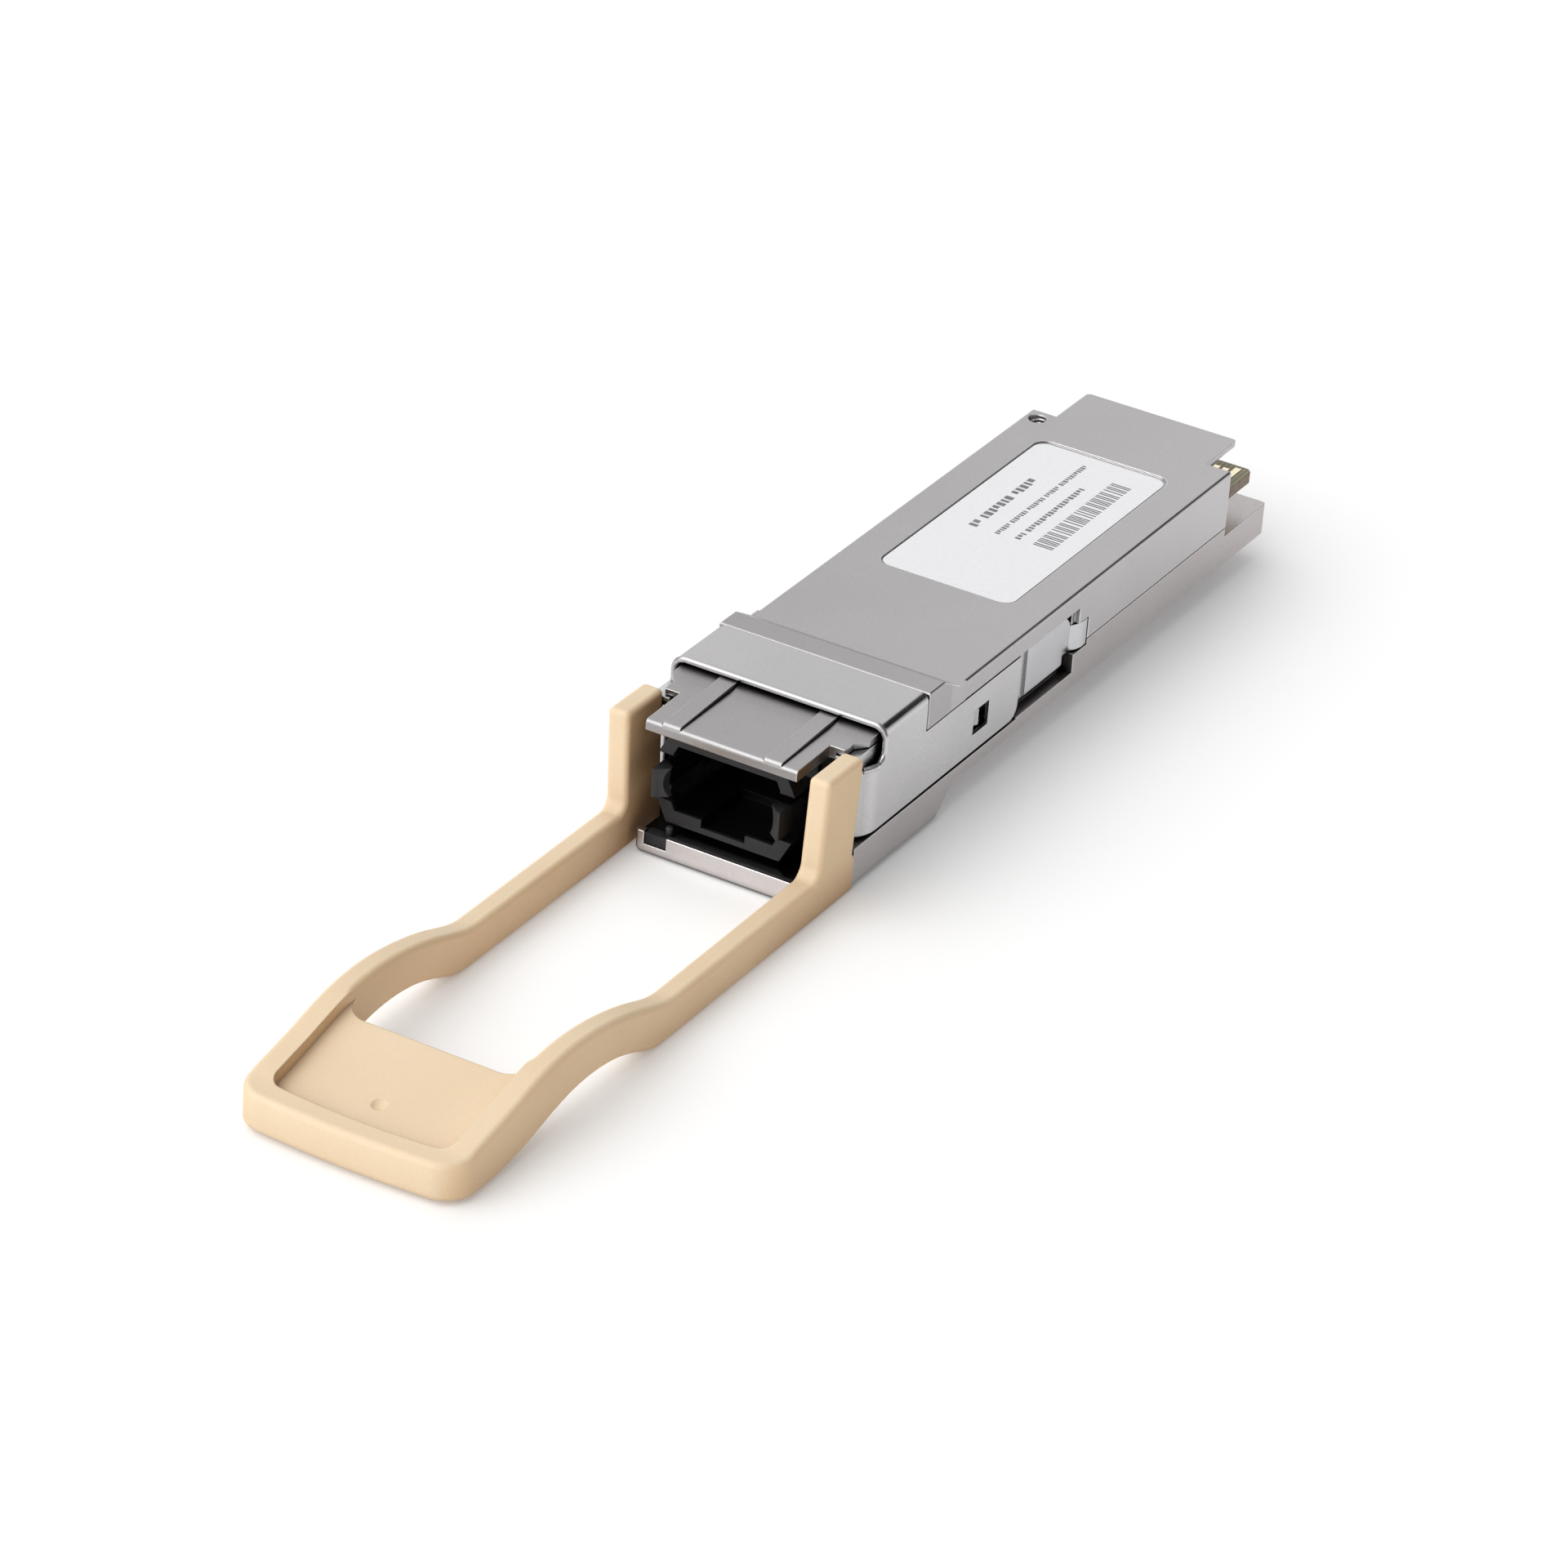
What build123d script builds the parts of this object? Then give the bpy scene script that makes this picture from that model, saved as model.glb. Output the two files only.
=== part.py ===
from build123d import *
import math
import os

# Optical transceiver module of the quad small-form-factor size, with a multi-fibre push-on
# receptacle in its nose and a pull tab that releases it from its cage.
#
# Frame, in millimetres: +X to the right seen from the pull tab, +Y the way the module goes into
# its cage, +Z up. The origin lies on the belly face, on the centre line, straight below the rear
# edge of the upper shell's tongue. "Rear" is the card edge end and "front" the pull tab end.

# ---------------------------------------------------------------- driving dimensions

HALF_W = 9.175            # half the width of the cage section
TOP_Z = 8.5               # height of the cage section
SEAM_Z = 3.41             # where the two shells meet along the sides
HALF_TONGUE = 6.9         # half the width of the upper shell's rear tongue
SHOULDER_Y = -5.44        # rear end of the side walls, where the tongue starts
LOWER_REAR_Y = 2.08       # the lower shell runs further back than the tongue
LEDGE_Z = 2.67            # top of the lower shell behind the side walls
TONGUE_UNDER_Z = 8.05

RAMP_FOOT_Y = -50.1       # the top plate ends here and climbs to the head
STOP_Y = -52.67           # top of the ramp: the edge that meets the cage's mouth
STRIP_FRONT_Y = -54.92    # the sleeve starts here
HEAD_Z = 9.93
HALF_STRIP = 9.21
CHIN_FOOT_Y = -52.4
CHIN_Z = -1.9
CHIN_FRONT_Y = -65.0
CHIN_LEDGE_Z = 1.2        # the sleeve's lower edge stands just above this ledge
NOSE_Y = -69.85           # front edge of both lips
HALF_LIP = 6.5            # upper lip
HALF_LOWER_LIP = 6.8
LIP_TOP_Z = 9.1
LIP_UNDER_Z = 8.15
LOWER_LIP_Z = -0.36
LOWER_LIP_UNDER_Z = -2.2

HALF_CAVITY = 7.2         # board space
CAVITY_FLOOR_Z = 1.2
CAVITY_ROOF_Z = 7.3
HALF_HEAD_CAVITY = 6.75   # receptacle space
HEAD_FLOOR_Z = -0.9
CAVITY_REAR_Y = -7.0
CAVITY_STEP_Y = -52.8

SHEET = 0.3               # sleeve
SLEEVE_HALF_W = 9.2
SLEEVE_TOP_Z = 9.95
SLEEVE_LOW_Z = 1.5
SLEEVE_FRONT_Y = -65.0
SLEEVE_MOUTH_Y = -61.4    # front edge of the top
SLEEVE_MOUTH_Z = 7.1      # lower edge of the two openings for the slider arms
SLEEVE_SIDE_TOP_Z = 6.87
SLEEVE_REAR_Y = -40.2
SLEEVE_GAP = 0.16         # between the sleeve's top and the strip behind it
TONGUE_GAP = 0.13         # above the sleeve's side tongues
SLEEVE_WRAP_R = 3.0
SLEEVE_BEND_R = 0.7
FIT = 0.03                # gap between a sheet and the recess it lies in

CHANNEL_X = 8.15          # floor of the groove that the slider arm runs in
CHANNEL_LOW_Z = 1.35
CHANNEL_REAR_Y = -31.15
CHANNEL_TOP_REAR_Y = -30.65      # a shallow notch above the tip slot goes on to here
CHANNEL_NOTCH_X = 8.75
TIP_SLOT_Y = -29.0        # the narrow end of the groove, for the arm's curved tip
TIP_SLOT_Z = (2.95, 5.45)
NECK_ROOF_Z = 8.7         # the groove is higher at the nose, where the arm comes out
NECK_REAR_Y = -57.2
NECK = ((7.05, HALF_W + 1), (CHIN_FRONT_Y - 1, NECK_REAR_Y), (SLEEVE_SIDE_TOP_Z - 0.1, NECK_ROOF_Z))

ARM_X = (8.3, 8.65)       # slider arm plate, inner and outer face
ARM_Z = (2.0, 6.3)
TRAVEL = 2.8              # how far the tab pulls out

BOARD_Z = (4.9, 5.9)
BOARD_REAR_Y = 0.7
BOARD_FRONT_Y = -46.6
HALF_CARD = 8.21
HALF_BOARD = 7.0
CARD_FRONT_Y = -5.2

AXIS_Z = 4.25             # height of the optical axis
RING_Y = -68.7            # front face of the receptacle
FERRULE_Y = -60.5         # mating face of the ferrule

TAB_HALF_W = 9.3
TAB_INNER = 7.45          # inner face of the tab's arms
TAB_LOW_Z = -2.3
TAB_ARM_TOP_Z = 0.95
UPRIGHT_X = (7.75, 9.6)
UPRIGHT_Y = (-70.3, -65.2)
UPRIGHT_TOP_Z = 9.25
TAB_FRONT_Y = -119.45
WINDOW_FRONT_Y = -108.2   # front end of the gap between the tab's arms


# ---------------------------------------------------------------- helpers

def block(x, y, z):
    """A box from three (low, high) pairs."""
    size = [high - low for low, high in (x, y, z)]
    centre = [(high + low) / 2 for low, high in (x, y, z)]
    return Pos(*centre) * Box(*size)


def wide(half_width, y, z):
    """A box that is centred on the module's middle plane."""
    return block((-half_width, half_width), y, z)


def both(part):
    """A part and its mirror image on the other side."""
    return part + mirror(part, about=Plane.YZ)


def side_face(points):
    """A face in the side view, from (y, z) points."""
    return make_face(Plane.YZ * Polyline(*points, close=True))


def side_plate(face, x):
    """A side view face pulled across from the first x to the second."""
    return extrude(Pos(x[0], 0, 0) * face, x[1] - x[0], dir=(1, 0, 0))


def plan_plate(face, z):
    """A plan view face pulled up from the first z to the second."""
    return extrude(Pos(0, 0, z[0]) * face, z[1] - z[0], dir=(0, 0, 1))


def corners(part, y):
    """The vertical edges between the first y and the second."""
    return [e for e in part.edges().filter_by(Axis.Z) if y[0] < e.center().Y < y[1]]


# ---------------------------------------------------------------- shells

SCREWS = ((-7.96, -6.71), (7.96, -6.71), (-7.96, -25.5), (7.96, -25.5))
SCREW_R = 0.6
SCREW_HEAD_R = 0.85
SCREW_HEAD_H = 0.75
SCREW_TIP_Z = 6.6
BLIND_Z = 7.4             # top of the screw holes that don't come through
OPEN_HOLE_R = 0.72        # the one that does, where its thread is cut
OPEN_HOLE_LOW_Z = 6.65
CAGE_EDGE_R = 0.25
STRIP_EDGE_R = 0.16


def sleeve_recess():
    """What the sheet sleeve takes from the outside of both shells."""
    x = (SLEEVE_HALF_W - SHEET - FIT, HALF_STRIP + 1)
    rear = block(x, (STRIP_FRONT_Y - 1, SLEEVE_REAR_Y), (CHIN_LEDGE_Z, SLEEVE_SIDE_TOP_Z))
    head = block(x, (CHIN_FRONT_Y - 1, STRIP_FRONT_Y), (CHIN_LEDGE_Z, HEAD_Z + 1))
    return both(rear + head)


def front_rounding():
    """What the sleeve's round front corners take from the shells' side walls."""
    r = SLEEVE_WRAP_R - SHEET - FIT
    corner_x = SLEEVE_HALF_W - SLEEVE_WRAP_R
    corner_y = SLEEVE_FRONT_Y + SLEEVE_WRAP_R
    square = block((corner_x, HALF_W + 1), (CHIN_FRONT_Y - 1, corner_y), (CHIN_LEDGE_Z, LIP_UNDER_Z))
    round_part = Pos(corner_x, corner_y, HEAD_Z / 2) * Cylinder(r, HEAD_Z * 2)
    return both(square - round_part)


def arm_groove():
    """The groove on each side that a slider arm runs in, open to the outside."""
    x = (CHANNEL_X, HALF_W + 1)
    main = block(x, (CHIN_FRONT_Y - 1, CHANNEL_REAR_Y), (CHANNEL_LOW_Z, SLEEVE_SIDE_TOP_Z))
    corner = block((CHANNEL_NOTCH_X, HALF_W + 1), (CHANNEL_REAR_Y - 1, CHANNEL_TOP_REAR_Y),
                   (TIP_SLOT_Z[0], SLEEVE_SIDE_TOP_Z))
    slot = block(x, (CHANNEL_REAR_Y - 1, TIP_SLOT_Y), TIP_SLOT_Z)
    return both(main + corner + slot + block(*NECK))


def screw_holes(top_z):
    """Four holes for the screws, up to top_z."""
    holes = [Pos(x, y, top_z / 2) * Cylinder(SCREW_R, top_z + 0.02) for x, y in SCREWS]
    return Part() + holes


RECESS_HALF_W = 6.0
RECESS_Y = (-36.55, -9.7)
RECESS_DEPTH = 0.15
RIB_X = (3.6, 5.1)
RIB_FRONT_Z = 9.25
RIB_REAR_Z = 9.575        # just below the sleeve's rolled edge
SLANT_Y = -69.2           # the nose plate rises gently from here
ROOT_Y = -62.9            # and curves up from here to the sleeve's mouth
ROOT_Z = 9.2
MOUTH_Z = 9.36
SEAM_LINE = 0.09          # size of the fine groove along the seam
SPRING_GROOVE = ((7.1, 8.2), (-60.0, -52.7), (3.75, 5.05))
BOSS_Y = (-47.1, -46.35)  # snaps that hold the sleeve: wedges that reach through the arms
BOSS_Z = (3.46, 4.85)
BOSS_X = (8.1, 8.75, 9.05)       # root, and the low and high end of the wedge
NOSE_TOP_R = 0.35
NOSE_LOW_R = 0.15
RIB_FRONT_R = 0.38
RIB_GROOVE = 0.08         # fine grooves along both sides of each rib
RIB_GROOVE_Z = 9.0


def make_upper_housing():
    cage = wide(HALF_W, (RAMP_FOOT_Y, SHOULDER_Y), (SEAM_Z, TOP_Z))
    cage = fillet(cage.edges().filter_by(Axis.Y).group_by(Axis.Z)[-1], CAGE_EDGE_R)
    tongue = wide(HALF_TONGUE, (SHOULDER_Y - 1, 0), (TONGUE_UNDER_Z, TOP_Z))
    tongue = fillet(corners(tongue, (-1, 1)), 0.4)
    strip_face = side_face([
        (RAMP_FOOT_Y + 1, SEAM_Z), (RAMP_FOOT_Y + 1, TOP_Z), (RAMP_FOOT_Y, TOP_Z), (STOP_Y, HEAD_Z),
        (STRIP_FRONT_Y, HEAD_Z), (STRIP_FRONT_Y, SEAM_Z)])
    strip = side_plate(strip_face, (-HALF_STRIP, HALF_STRIP))
    strip_top = strip.edges().group_by(Axis.Z)[-1]
    strip = fillet(strip_top.filter_by(Axis.Y) + strip_top.filter_by(Axis.X).sort_by(Axis.Y)[:1], STRIP_EDGE_R)
    head = wide(HALF_W, (CHIN_FRONT_Y, STRIP_FRONT_Y), (SEAM_Z, LIP_UNDER_Z))
    shell = cage + tongue + strip + head

    cavity = wide(HALF_CAVITY, (CAVITY_STEP_Y, CAVITY_REAR_Y), (SEAM_Z - 1, CAVITY_ROOF_Z))
    mouth = wide(HALF_W + 1, (SHOULDER_Y, 1), (SEAM_Z - 1, TONGUE_UNDER_Z))
    card_way = wide(HALF_CAVITY, (CAVITY_REAR_Y - 1, SHOULDER_Y + 1), (SEAM_Z - 1, BOARD_Z[1] + 0.2))
    head_cavity = wide(HALF_HEAD_CAVITY, (CHIN_FRONT_Y - 1, CAVITY_STEP_Y), (SEAM_Z - 1, LIP_UNDER_Z))
    shell -= cavity + mouth + card_way + head_cavity
    shell -= sleeve_recess() + front_rounding() + arm_groove()

    # nose plate: narrow between the uprights of the pull tab, wider at the sleeve's mouth
    plate_rear_y = STRIP_FRONT_Y + 0.1
    nose_points = [(HALF_LIP, NOSE_Y), (HALF_LIP, -65.05), (7.75, -65.05), (7.85, -64.3), (7.8, -63.8),
                   (8.57, -62.8), (8.6, SLEEVE_MOUTH_Y), (8.6, plate_rear_y)]
    nose_outline = nose_points + [(-x, y) for x, y in reversed(nose_points)]
    nose = plan_plate(make_face(Polyline(*nose_outline, close=True)), (LIP_UNDER_Z, LIP_TOP_Z))
    front_edges = nose.edges().filter_by(Axis.X).group_by(Axis.Y)[0].sort_by(Axis.Z)
    nose = fillet(front_edges[-1], NOSE_TOP_R)
    nose = fillet(nose.edges().filter_by(Axis.X).group_by(Axis.Z)[0].sort_by(Axis.Y)[0], NOSE_LOW_R)
    rib = side_plate(side_face([
        (NOSE_Y + 0.04, LIP_TOP_Z - 0.4), (NOSE_Y + 0.04, RIB_FRONT_Z), (SLEEVE_MOUTH_Y, RIB_REAR_Z),
        (plate_rear_y, RIB_REAR_Z), (plate_rear_y, LIP_TOP_Z - 0.4)]), RIB_X)
    rib = fillet(rib.edges().filter_by(Axis.X).sort_by(Axis.Y)[:2].sort_by(Axis.Z)[-1], RIB_FRONT_R)
    root_line = Line((0, SLANT_Y, LIP_TOP_Z), (0, ROOT_Y, ROOT_Z)) + ThreePointArc(
        (0, ROOT_Y, ROOT_Z), (0, (ROOT_Y + SLEEVE_MOUTH_Y) / 2, ROOT_Z + (MOUTH_Z - ROOT_Z) / 3),
        (0, SLEEVE_MOUTH_Y, MOUTH_Z))
    root_back = Polyline((0, SLEEVE_MOUTH_Y, MOUTH_Z), (0, plate_rear_y, MOUTH_Z),
                         (0, plate_rear_y, LIP_TOP_Z - 0.1), (0, SLANT_Y, LIP_TOP_Z - 0.1),
                         (0, SLANT_Y, LIP_TOP_Z))
    root = side_plate(make_face(root_line + root_back), (-HALF_W, HALF_W))
    root &= plan_plate(make_face(Polyline(*nose_outline, close=True)), (LIP_UNDER_Z, HEAD_Z))
    shell += nose + root + both(rib) - both(block(*NECK))
    for x in (RIB_X[0] - RIB_GROOVE, RIB_X[1]):
        groove = block((x, x + RIB_GROOVE), (NOSE_Y - 1, SLEEVE_MOUTH_Y + 0.3), (RIB_GROOVE_Z, HEAD_Z))
        shell -= both(groove)

    root_x, low_x, high_x = BOSS_X
    wedge = Polyline((root_x, BOSS_Y[0]), (low_x, BOSS_Y[0]), (high_x, BOSS_Y[1]), (root_x, BOSS_Y[1]),
                     close=True)
    shell += both(plan_plate(make_face(wedge), BOSS_Z))
    shell -= both(block(*SPRING_GROOVE))
    recess_length = RECESS_Y[1] - RECESS_Y[0]
    recess = RectangleRounded(2 * RECESS_HALF_W, recess_length, 1.2)
    shell -= Pos(0, sum(RECESS_Y) / 2, TOP_Z - RECESS_DEPTH) * extrude(recess, 1)
    shell -= screw_holes(BLIND_Z)
    open_x, open_y = SCREWS[0]
    shell -= Pos(open_x, open_y, TOP_Z) * Cylinder(OPEN_HOLE_R, 2 * (TOP_Z - OPEN_HOLE_LOW_Z))
    shell -= Pos(open_x, open_y, TOP_Z) * Cone(OPEN_HOLE_R - 0.1, OPEN_HOLE_R + 0.22, 0.32)
    seam = block((HALF_W - SEAM_LINE, HALF_W + 1), (RAMP_FOOT_Y - 1, 0), (SEAM_Z - 1, SEAM_Z + SEAM_LINE))
    return shell - both(seam)


POST_R = 0.9
POSTS = ((-5.9, -13), (5.9, -13), (-5.9, -44), (5.9, -44))
PEDESTAL = ((-3.6, 3.6), (-37.0, -33.0))
PEDESTAL_Z = 4.1
LIP_T = 0.6
LIP_SIDE_R = 0.45
LIP_FRONT_R = 0.3
NOTCH_X = (-6.05, -4.1)   # only on the left, where the receptacle's tab snaps in
NOTCH_Z = -1.4
NOSE_FLOOR_Z = -1.0


def make_lower_housing():
    cage = wide(HALF_W, (RAMP_FOOT_Y - 0.5, LOWER_REAR_Y), (0, LEDGE_Z))
    cage = fillet(corners(cage, (0, LOWER_REAR_Y + 1)), 0.4)
    walls = wide(HALF_W, (RAMP_FOOT_Y - 0.5, SHOULDER_Y), (LEDGE_Z - 0.5, SEAM_Z))
    chin_face = side_face([
        (RAMP_FOOT_Y + 0.5, SEAM_Z), (RAMP_FOOT_Y + 0.5, 0), (RAMP_FOOT_Y, 0), (CHIN_FOOT_Y, CHIN_Z),
        (CHIN_FRONT_Y, CHIN_Z), (CHIN_FRONT_Y, SEAM_Z)])
    chin = side_plate(chin_face, (-HALF_W, HALF_W))
    shell = cage + walls + chin

    shell -= wide(HALF_CAVITY, (CAVITY_STEP_Y, CAVITY_REAR_Y), (CAVITY_FLOOR_Z, SEAM_Z + 1))
    shell -= wide(HALF_HEAD_CAVITY, (CHIN_FRONT_Y - 1, CAVITY_STEP_Y), (HEAD_FLOOR_Z, SEAM_Z + 1))
    shell -= sleeve_recess() + front_rounding() + arm_groove()

    # nose floor with its lip, and the step that fills below the head cavity
    nose = wide(HALF_LOWER_LIP, (NOSE_Y, CHIN_FRONT_Y + 1), (LOWER_LIP_UNDER_Z, NOSE_FLOOR_Z))
    lip = wide(HALF_LOWER_LIP, (NOSE_Y, NOSE_Y + LIP_T), (LOWER_LIP_UNDER_Z, LOWER_LIP_Z))
    nose = nose + lip
    nose = fillet(nose.edges().filter_by(Axis.Y).group_by(Axis.Z)[0], LIP_SIDE_R)
    nose = fillet(nose.edges().filter_by(Axis.X).group_by(Axis.Z)[0].group_by(Axis.Y)[0], LIP_FRONT_R)
    nose -= block(NOTCH_X, (NOSE_Y - 1, NOSE_Y + 1.2), (NOTCH_Z, 1))
    shell += nose

    for x, y in POSTS:
        shell += Pos(x, y, (CAVITY_FLOOR_Z + BOARD_Z[0]) / 2) * Cylinder(POST_R, BOARD_Z[0] - CAVITY_FLOOR_Z)
    shell += block(*PEDESTAL, (CAVITY_FLOOR_Z - 0.1, PEDESTAL_Z))
    shell += wide(HALF_CAVITY, (CAVITY_REAR_Y, SHOULDER_Y - 0.3), (CAVITY_FLOOR_Z, BOARD_Z[0] - 0.2))
    shell -= screw_holes(SEAM_Z + 0.1)
    for x, y in SCREWS:
        shell -= Pos(x, y, SCREW_HEAD_H / 2) * Cylinder(SCREW_HEAD_R + 0.05, SCREW_HEAD_H + 0.1)
    return shell


def make_housing_screws():
    """Four cross-recessed screws that come up from below."""
    screws = Part()
    for x, y in SCREWS:
        shank = Pos(x, y, (SCREW_TIP_Z + 0.1) / 2) * Cylinder(SCREW_R - 0.02, SCREW_TIP_Z - 0.1)
        head = Pos(x, y, 0.1 + (SCREW_HEAD_H - 0.05) / 2) * Cylinder(SCREW_HEAD_R, SCREW_HEAD_H - 0.05)
        cross = Pos(x, y, 0.1) * (Box(1.0, 0.24, 0.6) + Box(0.24, 1.0, 0.6))
        screws += shank + head - cross
    return screws


# ---------------------------------------------------------------- nose sleeve and label

WINDOW = ((8, 10), (-47.4, -45.0), (3.0, 5.1))
WRAP_END_X = 7.75         # the front corners end here
BEAD_R = 0.26
BEAD_TURN_R = 1.0
BEAD_CORNER = (-34, 30)   # start and sweep angle of the bead's run round the front corner


def make_nose_sleeve():
    """Bent sheet over the head: a top, two long sides, and corners that wrap round the front."""
    outer = wide(SLEEVE_HALF_W, (SLEEVE_FRONT_Y, SLEEVE_REAR_Y), (SLEEVE_LOW_Z, SLEEVE_TOP_Z))
    outer = fillet(corners(outer, (-70, -60)), SLEEVE_WRAP_R)
    outer = fillet(outer.edges().filter_by(Axis.Y).group_by(Axis.Z)[-1], SLEEVE_BEND_R)
    inner = wide(SLEEVE_HALF_W - SHEET, (SLEEVE_FRONT_Y + SHEET, SLEEVE_REAR_Y + 1),
                 (SLEEVE_LOW_Z - 1, SLEEVE_TOP_Z - SHEET))
    inner = fillet(corners(inner, (-70, -60)), SLEEVE_WRAP_R - SHEET)
    inner = fillet(inner.edges().filter_by(Axis.Y).group_by(Axis.Z)[-1], SLEEVE_BEND_R - SHEET)
    sleeve = outer - inner

    # behind the strip only the two side tongues go on
    sleeve -= wide(10, (STRIP_FRONT_Y - SLEEVE_GAP, 0), (SLEEVE_SIDE_TOP_Z - TONGUE_GAP, 12))
    # the mouth: the top stops short, and the front is open between the wrapped corners
    mouth = side_plate(side_face([
        (SLEEVE_FRONT_Y - 1, SLEEVE_MOUTH_Z), (SLEEVE_FRONT_Y - 1, 12), (SLEEVE_MOUTH_Y, 12),
        (SLEEVE_MOUTH_Y, SLEEVE_MOUTH_Z)]), (-10, 10))
    mouth = fillet(mouth.edges().filter_by(Axis.X).sort_by(Axis.Z)[:2].sort_by(Axis.Y)[-1], BEAD_TURN_R)
    sleeve -= mouth
    sleeve -= wide(WRAP_END_X, (SLEEVE_FRONT_Y - 1, SLEEVE_FRONT_Y + 2), (0, 12))
    sleeve -= both(block(*WINDOW))
    rear_low = [e for e in sleeve.edges().filter_by(Axis.X)
                if e.center().Y > SLEEVE_REAR_Y - 0.1 and e.center().Z < SLEEVE_LOW_Z + 0.1]
    sleeve = fillet(rear_low, 1.2)

    # rolled bead along the edge of the mouth
    bead_x = SLEEVE_HALF_W - 0.03
    bead_top = SLEEVE_TOP_Z - 0.09
    corner_x = SLEEVE_HALF_W - SLEEVE_WRAP_R
    corner_y = SLEEVE_FRONT_Y + SLEEVE_WRAP_R
    start_y = SLEEVE_MOUTH_Y - BEAD_TURN_R - 0.1
    half = [(bead_x, start_y, SLEEVE_MOUTH_Z), (bead_x, SLEEVE_MOUTH_Y, SLEEVE_MOUTH_Z),
            (bead_x, SLEEVE_MOUTH_Y, bead_top)]
    line = FilletPolyline(half + [(-x, y, z) for x, y, z in reversed(half)], radius=BEAD_TURN_R)
    bead = sweep(Plane(origin=line @ 0, z_dir=line % 0) * Circle(BEAD_R), line)
    corner = CenterArc((corner_x, corner_y, SLEEVE_MOUTH_Z), bead_x - corner_x, *BEAD_CORNER)
    bead += both(sweep(Plane(origin=corner @ 0, z_dir=corner % 0) * Circle(BEAD_R), corner))
    return sleeve + bead


LABEL_Y = (-36.4, -10.12)
LABEL_T = 0.1


def make_label():
    face = RectangleRounded(2 * RECESS_HALF_W - 0.24, LABEL_Y[1] - LABEL_Y[0], 1.1)
    return Pos(0, sum(LABEL_Y) / 2, TOP_Z - RECESS_DEPTH) * extrude(face, LABEL_T)


# ---------------------------------------------------------------- slider and pull tab

SHOULDER_Z = 8.62         # top of the arm at the nose, folded inward under the nose plate
SPRING_X = 7.7
SPRING_Z = 4.4
SPRING_R = 0.42           # to the middle of the wire
SPRING_WIRE_R = 0.08
SPRING_Y = (-59.95, -53.35)
SPRING_COILS = 11
ARM_REAR_Y = -31.2
ARM_RELIEF_Y = (-41.0, -38.05)   # thinned where it comes out from behind the sleeve
ARM_FRONT_LOW_Z = 1.7     # lower edge between the tab and the sleeve's front corner
ARM_FRONT_REAR_Y = -64.35
TIP_X = 9.14
TIP_END_Y = -29.15


def make_slider_arm():
    """The right-hand stamped arm: shoulder, gooseneck, long plate and outward curved tip."""
    front_y = UPRIGHT_Y[0] + 1.4
    tip_z = (TIP_SLOT_Z[0] + 0.12, TIP_SLOT_Z[1] - 0.12)
    plate = side_plate(side_face([
        (front_y, ARM_FRONT_LOW_Z), (front_y, SHOULDER_Z), (-58.7, SHOULDER_Z), (-57.2, ARM_Z[1]),
        (-31.9, ARM_Z[1]),
        (ARM_REAR_Y, 5.6), (ARM_REAR_Y, tip_z[0]), (-32.1, tip_z[0]), (-32.1, ARM_Z[0]), (-60.3, ARM_Z[0]),
        (-60.3, 7.2), (ARM_FRONT_REAR_Y, 7.2), (ARM_FRONT_REAR_Y, ARM_FRONT_LOW_Z)]), ARM_X)
    low_edge = plate.edges().filter_by(Axis.Y).filter_by_position(Axis.Z, ARM_Z[0] - 0.01, ARM_Z[0] + 0.01)
    plate = fillet(low_edge.sort_by(Axis.X)[-1], 0.3)
    slot = block((8, 9), (BOSS_Y[0] - 0.2, BOSS_Y[1] + TRAVEL + 0.2), (BOSS_Z[0] - 0.2, BOSS_Z[1] + 0.2))
    flange = block((7.2, ARM_X[0] + 0.1), (-65.4, -58.9), (SHOULDER_Z - 0.35, SHOULDER_Z))
    spring_tab = block((7.3, ARM_X[0] + 0.1), (-53.3, -52.95), (3.95, 4.85))
    relief = block((ARM_X[1] - 0.2, 9), ARM_RELIEF_Y, (0, 8))

    # the tip in plan view: an outward curl of the same sheet
    outside = Line((ARM_X[1], -31.6), (ARM_X[1], -31.1)) + ThreePointArc(
        (ARM_X[1], -31.1), (8.98, -30.5), (TIP_X, -29.8)) + Line((TIP_X, -29.8), (TIP_X - 0.02, TIP_END_Y))
    inside = Polyline((TIP_X - 0.02, TIP_END_Y), (8.82, TIP_END_Y), (8.84, -29.75), (8.7, -30.3),
                      (8.35, -30.95), (ARM_X[0], -31.6), (ARM_X[1], -31.6))
    tip = plan_plate(make_face(outside + inside), tip_z)
    return plate - slot - relief + flange + spring_tab + tip


def make_return_spring():
    """The right-hand compression spring, along Y."""
    length = SPRING_Y[1] - SPRING_Y[0] - 2 * SPRING_WIRE_R
    path = Helix(length / SPRING_COILS, length, SPRING_R)
    start = path @ 0
    wire = Plane(origin=start, z_dir=path % 0) * Circle(SPRING_WIRE_R)
    coil = sweep(wire, path)
    return Pos(SPRING_X, SPRING_Y[0] + SPRING_WIRE_R, SPRING_Z) * (Rot(-90, 0, 0) * coil)


HUMP_REAR_Y = -90.3
HUMP_TOP = [(HUMP_REAR_Y, TAB_ARM_TOP_Z), (-92.8, 1.4), (-95.2, 2.2), (-97.8, 2.9), (-100.8, 3.45),
            (-104.4, 3.7), (-108.4, 3.3), (-112.4, 2.3), (-116.5, 1.4), (-120.0, 1.1)]
HUMP_LOW = [(-120.0, -1.95), (-116.0, -2.1), (-112.0, -1.9), (-108.0, -1.0), (-104.5, -0.2), (-101.0, -0.05),
            (-97.2, -0.7), (-94.6, -1.65), (-91.5, TAB_LOW_Z)]
TAB_EDGE_R = 0.45
HANDLE_CORNER_R = 2.4
WEB_DROP = 1.05           # the web lies this far below the rim
WEB_T = 1.2
RECESS_FRONT_Y = -117.7
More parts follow.
